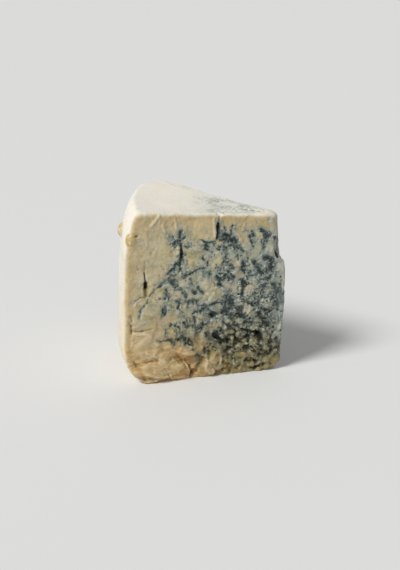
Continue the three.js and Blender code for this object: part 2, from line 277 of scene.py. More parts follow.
warp = np.stack([noise(WARP_SIZE, shift, layers=2) for shift in (31, 57, 83)], -1)
_, lump_own, lump_lean = curds((smooth + 1.6 * WARP_REACH * warp) / LUMP_SIZE + 80)
curd_border, curd_own, curd_lean = curds((smooth + WARP_REACH * warp) / CURD_SIZE)
flake_at = (smooth + 1.3 * WARP_REACH * warp) * FLAKE_SQUASH
_, flake_own, flake_lean = curds(flake_at / FLAKE_SIZE + 120)
crumb_border, crumb_own, crumb_lean = curds((smooth + 0.5 * WARP_REACH * warp) / CRUMB_SIZE + 40)
curd_border, crumb_border = curd_border * CURD_SIZE, crumb_border * CRUMB_SIZE

thin = THIN_SHARE + (1 - THIN_SHARE) * smoothstep(s, *THIN_AT)
torn = cut * torn_share(s, z) * thin
open_gap = smoothstep(noise(15, 91), -0.3, 0.3)
firm = (0.6 * cut + 0.4 * front) * fading(reaches_away((s, z), FIRM_MIDDLE, FIRM_REACH), 0.55, 1.1)
crumbly = fading(s, *CRUMBLY_AT) * fading(z, *CRUMBLY_BELOW)
loose = torn * (1 - FIRM_SHARE * firm)
relief = SWELL_HEIGHT * noise(SWELL_SIZE) + SKIN_HEIGHT * (1 - cut) * noise(SKIN_SIZE)
relief += torn * (LUMP_STEP * lump_own + LUMP_TILT * LUMP_SIZE * lump_lean)
relief += loose * (CURD_STEP * curd_own + CURD_TILT * CURD_SIZE * curd_lean) * (0.4 + 0.6 * open_gap)
relief -= loose * fading(curd_border, 0, CURD_GAP) * CURD_DEPTH * open_gap
loose = loose * (1 - 0.6 * firm)
crumb_gap = smoothstep(noise(8, 13), -0.3, 0.4) * fading(crumb_border, 0, CRUMB_GAP)
relief += loose * (CRUMB_STEP * crumb_own + CRUMB_TILT * CRUMB_SIZE * crumb_lean)
relief -= loose * CRUMB_DEPTH * crumb_gap
relief += torn * (1 - 0.8 * firm) * CRAG_HEIGHT * noise(CRAG_SIZE, 3, layers=2)
relief += (0.12 * cut + 0.88 * torn * (1 - 0.7 * firm)) * GRAIN_HEIGHT * noise(GRAIN_SIZE, 7, layers=2)


def softened(values, rounds):
    """The values blended with their neighbours in the grid, a quarter from each side, that many times."""
    for _ in range(rounds):
        values = (2 * values + np.roll(values, 1, 1) + np.roll(values, -1, 1)) / 4
        ends = np.concatenate([values[:1], values, values[-1:]])
        values = (2 * values + ends[:-2] + ends[2:]) / 4
    return values


relief += firm * cut * (softened(relief, 8) - relief)
flake = torn * firm * (FLAKE_STEP * flake_own + FLAKE_TILT * FLAKE_SIZE * flake_lean)
relief += softened(flake, 1)
relief += firm * torn * STREAK_HEIGHT * noise(STREAK_SIZE, 171, layers=3, squash=(0.5, 0.5, 1.3))
level = LEDGES * noise(LEDGE_SIZE, 181, layers=3, squash=(1, 1, 1.7))
over = level - np.floor(level)
ledges = LEDGE_HEIGHT * (smoothstep(over, 0.38, 0.62) - over)
relief += torn * (0.25 + 0.75 * firm) * ledges
ragged = fading(z, 0, RAGGED_HEIGHT)
relief -= cut * ragged * RAGGED_DEPTH * (0.5 + 0.5 * noise(RAGGED_SIZE))

# --------------------------------------------------
# The front cut's own marks.
# Holes of the needle that lets air in, cracks, hollows, plates of curd that stayed behind when the rest tore
# off, two dabs of cheese on the rind and the bite in the thin edge. The hidden back cut has a few of its own.
# --------------------------------------------------
# Each channel runs from one (distance from the tip axis, height) to another, with its half width, its depth
# and how much mould has grown in it. Where that number is high, the finish also paints the channel near
# black:
# mould, and painted shade in the hole.
CHANNELS = [
    ((111, 97), (110.7, 88), 0.8, 0.7, 0.6), ((110.7, 88), (110.3, 79.4), 1.2, 1.4, 1),
    ((110.2, 80), (109.9, 76.4), 2.7, 2.8, 1.2), ((110, 76.4), (110, 70.6), 2.5, 1.8, 0.65),
    ((84.4, 116), (83.6, 107), 1, 0.8, 0.7), ((84.4, 107.6), (83.6, 103), 1, 1, 0.8),
    ((83.6, 103), (83.3, 100), 1.8, 1.8, 1.3), ((83.3, 100), (84.2, 92), 1.1, 1.5, 1),
    ((84.2, 92), (85.8, 86.6), 1, 0.9, 0.8), ((55.4, 127), (57, 121), 0.9, 1, 0.4),
    ((57, 121), (57.2, 110), 1.4, 2.6, 1.1), ((50.6, 112.6), (48.8, 110.8), 1.7, 1.2, 1.1),
    ((46.4, 108), (45, 107), 1.2, 0.8, 0.8), ((36.5, 90), (35.4, 84), 1, 0.8, 0.7),
    ((39.5, 72), (38.5, 66), 0.7, 0.8, 0.6), ((121.1, 56.3), (119.8, 51.8), 1.6, 1.1, 0.3),
    ((122.4, 51), (120.2, 48), 1.3, 0.9, 0.2), ((120.2, 48), (119.6, 42), 1.5, 1.1, 0.2),
    ((119.6, 44), (112, 43.4), 1.3, 1, 0.3), ((112, 43.4), (105.4, 44.8), 1.1, 0.8, 0.2),
    ((117.6, 20), (115.6, 16), 1.4, 1.1, 0.3), ((115.8, 17), (103.8, 18.6), 1, 0.7, 0),
    ((85.2, 22.3), (80.7, 15.4), 1.3, 1.1, 0.15), ((80.7, 15.4), (77.9, 10.6), 1.3, 1.2, 0.3),
    ((78.1, 16), (74.4, 10.1), 1.3, 1.3, 0.5), ((91.6, 6.7), (90.7, 4.8), 1.2, 1, 0.7),
    ((117.6, 67.8), (113.9, 69.3), 1.1, 0.7, 0.35), ((113.9, 69.3), (108.1, 70.1), 0.9, 0.6, 0.25),
    ((95, 35), (88, 32), 0.7, 0.8, 0.8), ((44, 40), (38, 39), 1, 1, 1), ((56, 33.6), (54, 31), 1.9, 2, 0.9),
    ((53, 30), (50, 28.4), 1.5, 1.4, 1), ((49, 28.4), (43, 28), 1.2, 1, 0.8),
    ((27, 22), (22.6, 16.4), 1.2, 1, 0.7), ((22.6, 16.4), (18.6, 12.6), 1.3, 1.1, 0.5),
    ((49.5, 10.9), (43, 8), 1.3, 1, 0.15), ((43, 8), (37.6, 5.8), 1.3, 1.1, 0.4),
    ((35, 36), (25, 33), 1.8, 1.6, 0.9), ((24, 34), (21.6, 31), 2, 2.4, 1.1),
    ((21.6, 31), (20, 27), 2.4, 2.6, 0.9), ((72.6, 0), (71.2, 6), 2.4, 2.2, 0.6),
    ((69, 6), (65, 16.6), 2.4, 2, 0.35), ((74.4, 10.1), (72.6, 4), 1.8, 2, 0.6),
    ((24, 2), (15, 5), 3, 2.4, 0.5), ((11.8, 107), (9.8, 92), 2.6, 1, 1.4),
    ((108, 69), (111, 63), 0.9, 0.4, 0.4), ((112.6, 60.6), (113.8, 54.4), 1.2, 0.6, 0.45),
    ((118.2, 116.8), (116.4, 116.8), 1.6, 0.5, 0.8), ((121.5, 107), (121, 106.6), 1.1, 0.4, 0.7),
    ((97, 91), (96.6, 90.4), 1.2, 0.4, 0.8), ((116.9, 94), (116.6, 93.6), 1.1, 0.3, 0.7),
    ((116, 91.6), (115.6, 91.2), 1.3, 0.4, 0.8), ((122, 89), (121.7, 86.6), 1.2, 0.3, 0.5),
    ((100, 86.6), (99.6, 86), 1.1, 0.4, 0.8), ((91.4, 103), (91, 102.6), 1.2, 0.4, 0.8),
    ((107, 78), (106.6, 77.6), 1, 0.3, 0.6), ((122.2, 110), (121.8, 109.6), 1.1, 0.4, 0.6),
    ((98.9, 92.6), (98.5, 92.2), 1.2, 0.4, 0.8), ((103.7, 78.8), (103.2, 78), 1.2, 0.4, 0.8),
    ((104.8, 59.8), (104, 59), 1.1, 0.4, 0.6), ((60, 50.6), (58, 49.2), 1.5, 1.4, 1.2),
    ((71.8, 47), (71.2, 45.4), 1.1, 1, 1.2), ((65.4, 44.8), (64.8, 43.4), 1, 0.9, 1.1),
    ((50.4, 44), (46.4, 41), 1, 1, 0.9), ((77, 29.6), (75.2, 28.4), 1, 1, 1.2),
    ((84.6, 34.4), (83.2, 33.2), 1, 0.9, 1), ((83.8, 44), (83.2, 41.2), 1, 1, 1.1),
]
# Plates: middle, reach and height.
PLATES = [
    ((108, 29), (11, 9), 1), ((114, 36), (7, 7), 0.3), ((96, 11), (21, 7), 1.3), ((56, 10), (9, 8), 1.4),
    ((66, 116), (10, 10), 0.6), ((29, 53), (11, 4.5), 0.5),
]
# Dabs on the rind, then hollows of the whole wedge: middle from the tip axis, reach and height.
DABS = [
    ((-RADIUS + 2.4, 22, 115), (6, 8, 7.5), 3.6),
    ((-RADIUS + 3.4, 1, 113.6), (4.4, 4, 5.4), 1.3),
]
HOLLOWS = [
    ((-10, 1.2, 100), (3.2, 4.5, 8), -2.8),
    ((-88.4, 88.4, 136), (24, 24, 22), -3.4),
    ((-55.4, 0.5, 129), (2.6, 5, 5), -1.5),
]
BACK_CHANNELS = [
    ((97, 108), (96.4, 94), 0.9, 0.9, 0.6), ((96.4, 94), (96, 85), 1.7, 2, 1),
    ((66, 74), (67, 62), 1.5, 1.6, 0.9), ((40, 121), (40.6, 109), 1.2, 1.4, 0.9),
    ((84, 34), (74, 28), 1.6, 1.6, 0.8), ((26, 44), (32, 30), 2.4, 2.2, 1),
    ((58, 0), (61, 16), 2.6, 2, 0.4), ((112, 30), (96, 26), 1.4, 0.9, 0.1),
]
BACK_PLATES = [
    ((92, 10), (18, 8), 1.2), ((104, 34), (10, 8), 0.9), ((40, 12), (12, 8), 1.2),
    ((84, 118), (14, 8), 0.5),
]
# Flakes and lips that stand up in a line: half width, height, then points.
RIDGES = [
    (1.3, 0.7, (100.8, 130), (103.6, 127.4), (107, 123.6)), (0.9, 0.5, (100.2, 129), (101, 125.6)),
    (1.1, 0.6, (98.8, 123.6), (96.8, 118.4)), (1, 0.4, (107.6, 121.2), (104.6, 120.2)),
    (1.2, 0.6, (89.7, 127), (88.2, 120)), (1.2, 0.6, (86.3, 107), (86, 95)),
    (1.3, 0.6, (59.8, 125), (59.4, 112)), (0.9, 0.7, (96, 77), (91, 77.6), (88, 74.5)),
    (1.2, 1.5, (108.2, 25.8), (102, 22.2), (95.3, 18.1)), (1.8, 1.2, (98.6, 20), (95.6, 18.4)),
    (1.4, 0.7, (118.4, 42), (108.4, 40.9), (104.2, 37.8)), (1.2, 0.4, (102.6, 36), (100.2, 30)),
    (1.2, 0.4, (119.6, 38), (119.7, 30)), (0.9, 0.7, (100.7, 31.2), (97.3, 33.5)),
    (1, 0.8, (88.5, 19.1), (81.4, 11)), (1.1, 0.8, (113.8, 8.5), (107, 7.7), (96.7, 5.1), (89.9, 5.6)),
    (1.1, 1, (77, 12), (73.5, 5)), (1, 0.7, (116.6, 66), (118.4, 64)), (0.9, 0.7, (86, 44), (83, 38)),
    (0.9, 0.9, (29, 21), (24, 12)), (1.3, 0.7, (62.4, 18), (60.6, 13), (61.6, 8)),
    (1.4, 0.8, (52, 21), (49.4, 15), (50.4, 10)), (1.1, 0.8, (88, 44.6), (86.6, 42.4)),
    (1.1, 0.8, (85.2, 40), (84, 37)), (1.3, 0.8, (83.4, 30.8), (81, 29.4)),
    (1.2, 0.8, (76.2, 27.8), (74.2, 26.4)), (1, 0.7, (79.2, 45.6), (77.6, 44.2)),
    (1.1, 0.7, (43.4, 20.6), (43, 18.8)), (1.1, 0.8, (40, 15), (39, 6)), (1, 0.8, (34, 22), (31, 13)),
    (0.9, 0.6, (38.4, 76), (37.6, 68)), (1.1, 0.7, (38.8, 64.4), (32, 62.8)),
    (1.2, 0.5, (37.6, 60), (31.4, 56.4)), (1.2, 0.5, (28, 54), (22.6, 50)),
]


def to_run(s, z, run):
    """Distance from (s, z) to the nearest of the straight lines that join a run of such points."""
    nearest = np.inf
    for start, end in zip(run, run[1:]):
        across, up = end[0] - start[0], end[1] - start[1]
        t = np.clip(((s - start[0]) * across + (z - start[1]) * up) / (across * across + up * up), 0, 1)
        nearest = np.minimum(nearest, np.hypot(s - start[0] - t * across, z - start[1] - t * up))
    return nearest


STRAY_SIZE, STRAY_REACH = 5.0, 2.0  # nothing runs quite straight
stray = np.stack([noise(STRAY_SIZE, shift, layers=3) for shift in (101, 137)], -1)
ws, wz = s + STRAY_REACH * stray[..., 0], z + STRAY_REACH * stray[..., 1]
half_stray = ((s + ws) / 2, (z + wz) / 2)
warped = (ws + 4 * warp[..., 0], wz + 3 * warp[..., 1])
back = cut - front
channel, plate, lip_highlight = np.zeros_like(s), np.zeros_like(s), np.zeros_like(s)
for face, channels, plates in ((front, CHANNELS, PLATES), (back, BACK_CHANNELS, BACK_PLATES)):
    for start, end, width, depth, mould in channels:
        let_in = fading(to_run(*half_stray, (start, end)), 0, width)
        relief -= face * depth * let_in
        channel = np.maximum(channel, face * mould * let_in)
    for middle, reach, height in plates:
        ring = reaches_away(warped, middle, reach)
        relief += face * height * fading(ring, 0.7, 1.1)
        plate = np.maximum(plate, face * fading(ring, 0.6, 1.05))
# Each ridge stands up in the relief; its top is also kept as a mask for a painted highlight along it.
for width, height, *run in RIDGES:
    away = to_run(*half_stray, run)
    relief += front * height * fading(away, 0.2 * width, width)
    lip_highlight = np.maximum(lip_highlight, front * fading(away, 0.2 * width, 1.2 * width))
lip_highlight *= 0.6 + 0.6 * noise(6, 191)
everywhere = np.moveaxis(smooth, -1, 0)  # x, y and height
for middle, reach, height in DABS + HOLLOWS:
    relief += height * fading(reaches_away(everywhere, middle, reach), 0.35, 1)

# --------------------------------------------------
# The mould.
# Blue mould needs air, so it grows in the gaps between the curds and along the needle holes, more and more
# towards the middle of the round and hardly at all under the skin.
# --------------------------------------------------
# Veins that the front cut opens: half width, then points as (distance from the tip axis, height).
VEINS = [
    (1.5, (84.6, 117), (84.2, 106), (83.8, 100), (83.8, 95), (85, 92)), (1.1, (84.6, 92.6), (85.3, 89)),
    (1.2, (91.6, 115), (88.8, 111.4), (86.4, 110.4)), (1.5, (89.4, 109.6), (87.8, 107.4)),
    (0.8, (81.6, 113), (83.4, 111.4)), (0.6, (82.6, 108), (78.4, 106.4)),
    (1.2, (86.3, 94.5), (88.3, 92.6), (90.3, 89.8), (94.4, 86.7)), (0.9, (94.4, 86.7), (87.7, 86.1)),
    (1.1, (99, 76.6), (96.7, 80.1), (93.4, 81.5), (89.6, 80.6)), (1.2, (92, 80), (88.4, 79), (86.2, 75.7)),
    (1, (93, 83), (88.6, 82), (86.4, 79.6)), (1.6, (81, 83), (79.2, 84.6)), (1.5, (76, 86.2), (73.4, 87.4)),
    (0.7, (79.2, 84.6), (76, 86.2)), (0.8, (72, 88), (66.9, 89.8)),
    (1.2, (77, 82.6), (76.4, 80), (75.7, 77.3)), (0.7, (100, 76.2), (104.1, 74), (107.3, 70)),
    (0.45, (107.3, 70), (110.5, 64.3), (112.9, 59.3), (113.7, 55.1)),
    (0.8, (71, 109), (64, 107.9), (58, 107.8)), (1.3, (65.6, 105.4), (64.6, 103)),
    (1, (64.4, 93.4), (63.6, 91.6)), (0.8, (68.8, 96.8), (68, 95.8)),
    (1.5, (57, 120), (56.8, 112), (53.8, 110.4)), (2.6, (52, 113), (49, 110.6)),
    (2.2, (53.8, 110.4), (45.1, 107.2), (42.4, 102.7)), (1.3, (42.4, 102.7), (36.2, 98.8)),
    (0.9, (54.6, 104), (50, 103), (50.6, 100.6)), (0.8, (56, 102.6), (54, 100.4)),
    (1, (52, 119.6), (51.6, 116.6)), (1, (46, 117.6), (45.6, 113)), (1.3, (34.4, 115), (32.6, 113.4)),
    (1.6, (30.8, 112), (29.4, 110.4)), (1.2, (32, 109.4), (31, 105)), (1, (29.8, 103), (29, 102)),
    (2.2, (22.3, 113), (17.8, 109.3), (19.2, 104.3)), (1.4, (19.6, 103), (21.6, 100.2)),
    (1.8, (19, 93), (14.6, 91)), (1.3, (41.6, 94.6), (40.6, 93.2)), (1.5, (36.2, 91), (34.8, 88)),
    (1.8, (36.5, 86.4), (33.6, 82.1)), (1.6, (48.8, 90.6), (45.1, 88.2)), (1.4, (27.4, 90), (25, 87)),
    (1.8, (25, 85), (22.6, 81.6)), (1.5, (15.4, 86.4), (12.5, 79.4)), (1.1, (56.6, 89.6), (53.6, 87)),
    (1.3, (62.4, 84), (60.6, 83.2)), (1.4, (56.2, 81), (53, 77.6)),
    (1.6, (50, 79.6), (46.8, 79.4), (43.9, 79.8)), (1, (47.4, 84), (45.8, 82.6)),
    (1.1, (54.4, 74.6), (53.2, 73.4)), (1.2, (67.8, 71), (66.8, 70)), (2, (36, 76.6), (34.4, 73)),
    (0.8, (36.8, 77.2), (35.6, 70), (36.6, 64)), (0.9, (33.6, 79.4), (31.6, 78)),
    (1.4, (22.7, 73.3), (17.6, 76.3), (14.2, 77.8)), (1.3, (21, 70.4), (17.9, 65.7)),
    (2, (12.9, 71.5), (6.3, 64.6)), (1.8, (7.4, 57), (5.4, 49.7), (5, 43.4)),
    (1.5, (5.4, 70), (4, 62), (4.6, 55)), (1.5, (94, 71.4), (92.4, 66.6)), (1, (100, 67.4), (95, 67)),
    (1.8, (96.4, 59.6), (95.3, 55.4)), (1.4, (86.4, 64), (85.2, 58.8)), (1.4, (83.4, 72.4), (79.6, 68)),
    (1.6, (79, 62.4), (74.5, 64.2), (70.2, 62.9)), (1.4, (71.6, 73.6), (69.4, 70.4)),
    (1.3, (75, 73), (72.8, 69.2)), (1.5, (67, 54.4), (65, 56.2), (63.2, 56.8)),
    (0.8, (69, 59.2), (59.3, 59.2), (49.9, 60.9)), (2.2, (48, 66), (45.4, 62.4), (42.6, 59)),
    (1.8, (48.6, 56.6), (44, 57)), (1.6, (48.8, 55), (39.2, 54.1)), (2.2, (49.8, 52.6), (47.6, 51)),
    (1.4, (62.8, 55.6), (57.3, 51.4)), (2.4, (59.8, 51.4), (57.8, 50)), (2, (39, 53), (36.4, 50.4)),
    (1.6, (36.2, 48), (34.6, 46.4)), (2.2, (22, 48.4), (20.8, 46.6)), (1.3, (45, 47.4), (43, 45.4)),
    (1.5, (30.8, 42.4), (28.8, 40.4)), (1.1, (38.4, 40.4), (36.6, 38.4)), (1.4, (72.4, 49.4), (71, 46.6)),
    (1.5, (80, 48), (77, 43), (71, 42.6)), (1.2, (89.4, 45), (86, 43.6), (83.6, 41.4)),
    (1, (94.2, 43), (94, 38)), (0.9, (98, 34.6), (94.8, 35), (90, 33.4), (86.4, 31.2)),
    (1.2, (86, 35), (83, 34)), (1.3, (81.6, 37), (78.6, 33)), (1, (74, 52.6), (71.6, 54.4), (69.6, 53)),
    (1.2, (62.8, 23.4), (61.4, 22)), (1.5, (69, 20.6), (67.6, 18.4)), (1.6, (45.4, 41), (43.6, 39)),
    (1.4, (63.4, 35.4), (61.8, 33.4)), (1.4, (57, 24.8), (54.4, 23.6)), (1, (44.8, 16.6), (44.4, 13.6)),
    (1.5, (79, 30), (76, 32.4), (73, 29)), (1.5, (68.6, 42.4), (65.2, 41.6)), (2.6, (55.2, 35), (54, 30)),
    (1.7, (53, 30), (47.6, 28), (42, 27)), (1.2, (53.6, 40), (50.4, 37)),
    (1.9, (35.6, 32), (32.4, 31), (29, 29.4)), (2.2, (26, 34), (20.4, 32), (19.4, 27)),
    (1.4, (37, 28), (35, 25)), (1.4, (26.4, 21.6), (23, 13.4)), (1.6, (63.4, 23), (61, 21)),
    (1.6, (46.4, 19.6), (43.6, 18.6)), (1.3, (21.8, 24), (17.8, 17)),
    (1.8, (12.8, 22), (10.4, 20), (10.8, 15)), (1.5, (6.6, 19), (5.4, 17)), (1.7, (14.6, 16.4), (13, 14)),
    (1.3, (23.4, 10), (21, 7)), (1.3, (30, 10), (27.6, 8.6)), (1.2, (41.6, 16), (39.6, 13)),
    (1.6, (16.6, 42), (12.6, 36.6)), (1.6, (5.8, 25.6), (4, 20)), (2, (11.4, 106), (9.8, 92)),
]
# Patches of bloom on the front cut: middle, reach and strength.
BLOOMS = [
    ((84, 122), (5, 4.4), 0.5), ((86, 110), (8, 8), 0.7), ((11, 84), (5, 12), 0.8), ((9, 74), (6, 8), 0.8),
    ((99, 64), (13, 15), 0.4), ((84, 56), (10, 10), 0.35), ((84, 97), (6, 10), 0.6),
    ((88, 90), (8, 7), 0.9), ((80, 104), (12, 18), 0.3), ((96, 66), (22, 20), 0.35),
    ((93, 81), (7, 4.6), 0.7), ((81, 85), (4, 4), 0.6), ((69, 116), (7, 2.4), 0.35),
    ((54, 114), (4, 6), 0.5), ((47, 107), (9, 6), 1), ((54, 103), (4.6, 4.6), 0.8),
    ((33, 112), (6, 9), 0.5), ((28, 122), (2, 5), 0.4), ((17, 121), (2, 6), 0.4), ((20, 107), (6, 7), 0.8),
    ((17, 94), (8, 4), 0.6), ((20, 84), (11, 9), 0.9), ((54, 82), (6, 6), 0.6), ((67, 84), (5, 6), 0.4),
    ((76, 78), (5, 8), 0.5), ((35, 74), (5, 6), 0.7), ((17, 70), (10, 8), 0.7), ((9, 58), (7, 16), 0.8),
    ((40, 116), (5, 4), 0.3), ((46, 61), (8, 8), 1), ((92, 68), (6, 5), 0.4), ((106, 67), (5, 8), 0.35),
    ((93, 57), (5, 5), 0.5), ((78, 63), (11, 8), 0.5), ((66, 56), (10, 6), 0.5), ((80, 45), (9, 7), 0.6),
    ((84, 38), (8, 8), 0.8), ((79, 30), (9, 4), 0.7), ((77, 44), (8, 5), 0.6), ((93, 40), (4, 5), 0.5),
    ((58, 25), (8, 4), 0.6), ((64, 42), (6, 5), 0.5), ((33, 36), (12, 7), 0.8), ((21, 31), (9, 9), 0.9),
    ((14, 22), (9, 11), 0.7), ((45, 24), (14, 7), 0.6), ((22, 13), (9, 8), 0.6), ((10, 17), (7, 6), 0.6),
    ((33, 9), (10, 5), 0.35),
]
# Plates and crumbs of the front cut that the mould hasn't reached: middle and reach.
BARE = [
    ((41, 89), (4.4, 6)), ((61, 74), (8, 4.6)), ((45.6, 70), (4.6, 5)), ((39.4, 110), (3.4, 8)),
    ((57, 93), (5, 4)), ((77, 98), (4, 8)), ((92, 74), (6, 2.6)), ((103, 60), (5, 9)),
    ((40, 59.6), (3, 1.8)), ((35.6, 56.6), (4, 1.8)), ((30.4, 52), (4, 2.2)), ((26.6, 47.6), (3, 2.2)),
    ((22.4, 43), (2.4, 2)), ((61, 40), (5, 3)), ((55, 41), (5, 3.4)), ((42, 45), (5, 2.4)),
    ((43, 35), (5, 2.4)), ((66, 29), (4.4, 9)), ((88.4, 50.6), (6, 4)), ((68, 49), (4, 3)),
    ((54, 52), (3, 2)), ((51, 39.6), (4, 2)), ((57, 12), (8, 9)), ((54, 67), (6, 3)), ((35, 15), (4, 3)),
    ((10, 8), (5, 2.4)),
]

# Short veins of the back cut, drawn at random inside an ellipse: how many, and its middle and reach.
BACK_VEINS, BACK_SEED, BACK_MIDDLE, BACK_REACH = 64, 23, (40, 64), (58, 52)
# Depths under the top and the rind over which the mould takes hold, and the heights below which it is rich,
# and poor again.
UNDER_TOP, UNDER_RIND = (6, 45), (10, 110)
RICH_BELOW, POOR_BELOW = (25, 95), (3, 24)

below_top = top_height(s) - z
below_rind = rind_radius(z / top_height(s) * RIM_HEIGHT) - s
growth = smoothstep(below_top, *UNDER_TOP) * smoothstep(below_rind, *UNDER_RIND) ** 0.8 * (1 - firm)
growth *= (0.62 + 0.38 * fading(z, *RICH_BELOW)) * (0.45 + 0.55 * smoothstep(z, *POOR_BELOW))
growth = cut * np.clip(growth + 0.25 * noise(22, 71, layers=2) * smoothstep(growth, 0, 0.3), 0, 1)
bare = np.zeros_like(s)
for middle, reach in BARE:
    ring = reaches_away((ws, wz), middle, reach)
    bare = np.maximum(bare, front * fading(ring, 0.5, 1.25))
growth = growth * (1 - 0.7 * bare)


def ragged_line(distance, width):
    """1 within a quarter of a vein's half width and 0 from 1.9 of it, so that the mould's grain frays it."""
    return fading(distance, 0.25 * width, 1.9 * width)


patch = smoothstep(0.8 * noise(13, 23, layers=2) + 1.0 * growth, 0.3, 0.9)
vein = 0.8 * patch * ragged_line(curd_border, 0.6 + 0.9 * growth) * (1 - 0.35 * crumbly)
halo = 0.8 * patch * fading(curd_border, 1, 4 + 4 * growth) * smoothstep(growth, 0.02, 0.3)
patch = smoothstep(0.8 * noise(9, 29, layers=2) + 0.9 * growth, 0.5, 1.0)
between_crumbs = 0.7 * patch * ragged_line(crumb_border, 0.4 + 0.8 * growth)
vein = np.maximum(vein, between_crumbs * (1 - 0.6 * crumbly))
vein, halo = vein * (1 - 0.8 * bare), halo * (1 - 0.7 * bare)
swelling = 1 + 0.8 * noise(5, 151, layers=2)
for width, *run in VEINS:
    away = to_run(ws, wz, run) / swelling
    vein = np.maximum(vein, front * (0.85 + 0.1 * width) * ragged_line(away, width))
    halo = np.maximum(halo, front * fading(away, 0, 3 * width + 1))
for middle, reach, strength in BLOOMS:
    ring = reaches_away((ws, wz), middle, reach)
    halo = np.maximum(halo, front * strength * fading(ring, 0.3, 1.2))
    vein = np.maximum(vein, front * strength * 0.55 * fading(ring, 0.3, 1.0))
draw = np.random.default_rng(BACK_SEED)
for _ in range(BACK_VEINS):
    turn, out = draw.uniform(0, 2 * math.pi), math.sqrt(draw.uniform(0, 1))
    middle = BACK_MIDDLE + out * np.array([math.cos(turn), math.sin(turn)]) * BACK_REACH
    middle[0] = max(6, middle[0])
    heading, bend, length = draw.uniform(0, math.pi), draw.uniform(-0.9, 0.9), draw.uniform(2, 7)
    ahead = length * np.array([math.cos(heading + bend), math.sin(heading + bend)])
    behind = length * np.array([math.cos(heading - bend), math.sin(heading - bend)])
    width = draw.uniform(0.8, 2.0)
    away = to_run(ws, wz, [middle - behind, middle, middle + ahead]) / swelling
    vein = np.maximum(vein, back * (0.85 + 0.1 * width) * ragged_line(away, width))
    ring = np.hypot(ws - middle[0], wz - middle[1]) / (4 * width + 1)
    halo = np.maximum(halo, back * draw.uniform(0.4, 1.0) * fading(ring, 0.3, 1.2))
vein = cut * np.maximum(vein, channel)
relief -= cut * (0.25 + 0.4 * crumbly) * vein + 0.15 * halo
# How far each place stands above or sinks below its surroundings. The finish paints shade into the hollows
# and highlights onto the crests by it, and mould gathers in the hollows.
rise = cut * (relief - softened(relief, 30))
vein = np.maximum(vein, 0.8 * smoothstep(growth, 0.15, 0.6) * smoothstep(-rise, 0.2, 1.2))

# --------------------------------------------------
# The skin.
# The outside of the curd, salted and dried to a thin pale skin. On the top it has fine curved wrinkles, a few
# pits, a slit and smudges where mould comes through, and its edge waves along the cuts.
# --------------------------------------------------
EDGE_WAVE, EDGE_REACH = 0.7, 6.0  # how high the top waves, and how far in from the cuts
# Pits, a slit and smudges of mould in the top: from one (x, y) from the tip axis to another, with their half
# width, their depth and how dark they are. The smudges are mould; the dark of the slit is painted shade.
TOP_MARKS = [
    ((-47.9, 31.2), (-46.9, 31), 2.4, 0.9, 1), ((-52.9, 5.7), (-51.9, 5.6), 2.2, 0.9, 0.9),
    ((-34, 13.4), (-18, 6.6), 2, 1.2, 1.3), ((-56, 28), (-52, 23.5), 2.6, 0, 0.5),
    ((-38, 31), (-37, 28), 3, 0, 0.45), ((-35, 17), (-27, 21.4), 2.4, 0, 0.4),
    ((-21, 4), (-18, 4.2), 2.2, 0, 0.5), ((-72, 65), (-62, 55), 3, 0, 0.25),
    ((-113.9, 8.7), (-113, 8.7), 2.6, 0, 0.2),
]

# The depth under the nearest of the rind, the top and the base, rounded off where two of them meet.
side_depth, top_depth = np.maximum(1.5 * below_rind + 1.2, 0.1), np.maximum(below_top, 0.1)
skin_depth = (side_depth**-2 + top_depth**-2 + (z + 3) ** -2) ** -0.5
dab_share = np.zeros_like(s)
for middle, reach, _ in DABS:
    dab_share = np.maximum(dab_share, fading(reaches_away(everywhere, middle, reach), 0.5, 1.1))
skin_depth = np.minimum(2 * cut, 1) * np.maximum(skin_depth + 1.3 * noise(8, 19, layers=3), 0)
skin_depth += 4 * dab_share
on_top = (1 - cut) * smoothstep(z, 100, 120)
x, y = smooth[..., 0], smooth[..., 1]
slit_shade_and_smudge = np.zeros_like(s)
for start, end, width, depth, darkness in TOP_MARKS:
    away = to_run(x + 1.5 * stray[..., 0], y + 1.5 * stray[..., 1], (start, end))
    slit_shade_and_smudge = np.maximum(slit_shade_and_smudge, on_top * darkness * fading(away, 0.2 * width, width))
    relief -= on_top * depth * fading(away, 0, width)
from_cuts = np.minimum(np.abs(y), np.abs(x * math.sin(ANGLE) + y * math.cos(ANGLE)))
from_edge = np.hypot(below_top, from_cuts)
relief += (z > 100) * EDGE_WAVE * noise(8, 45, layers=2) * fading(from_edge, 1, EDGE_REACH)

# --------------------------------------------------
# The wedge itself, cut in one piece: one closed mesh, the smooth form pushed out and in by the relief. Each
# of its points keeps what the finish needs there, such as the depth under the skin, the veins and their
# halos, plates, lips and holes, and how low, how near the thin edge or how worn the place is.
# --------------------------------------------------
MM = 0.001
MARGIN = 0.02  # the mesh stays that far inside the solid's own box
# Heights, and distances from the tip axis, over which the low and the inner parts fade out.
LOW_BELOW, LOW_SKIN_BELOW = (12, 62), (10, 100)
INNER_AT, INNER_TOP_AT = (50, 90), (45, 90)

normal = grid_normals(smooth)
normal[..., 2] *= smoothstep(z, 0, CUT_EDGE)  # the foot stays flat
wedge_points = smooth + normal * relief[..., None] + TIP_AXIS
low_corner, high_corner = (np.array(v) / MM for v in cad_box)
wedge_points = np.clip(wedge_points, low_corner + (MARGIN, MARGIN, 0), high_corner - MARGIN)
wedge_points[z == 0, 2] = 0


def placed(name, data):
    """A new object of that name and data, put in the scene."""
    item = bpy.data.objects.new(name, data)
    bpy.context.scene.collection.objects.link(item)
    return item


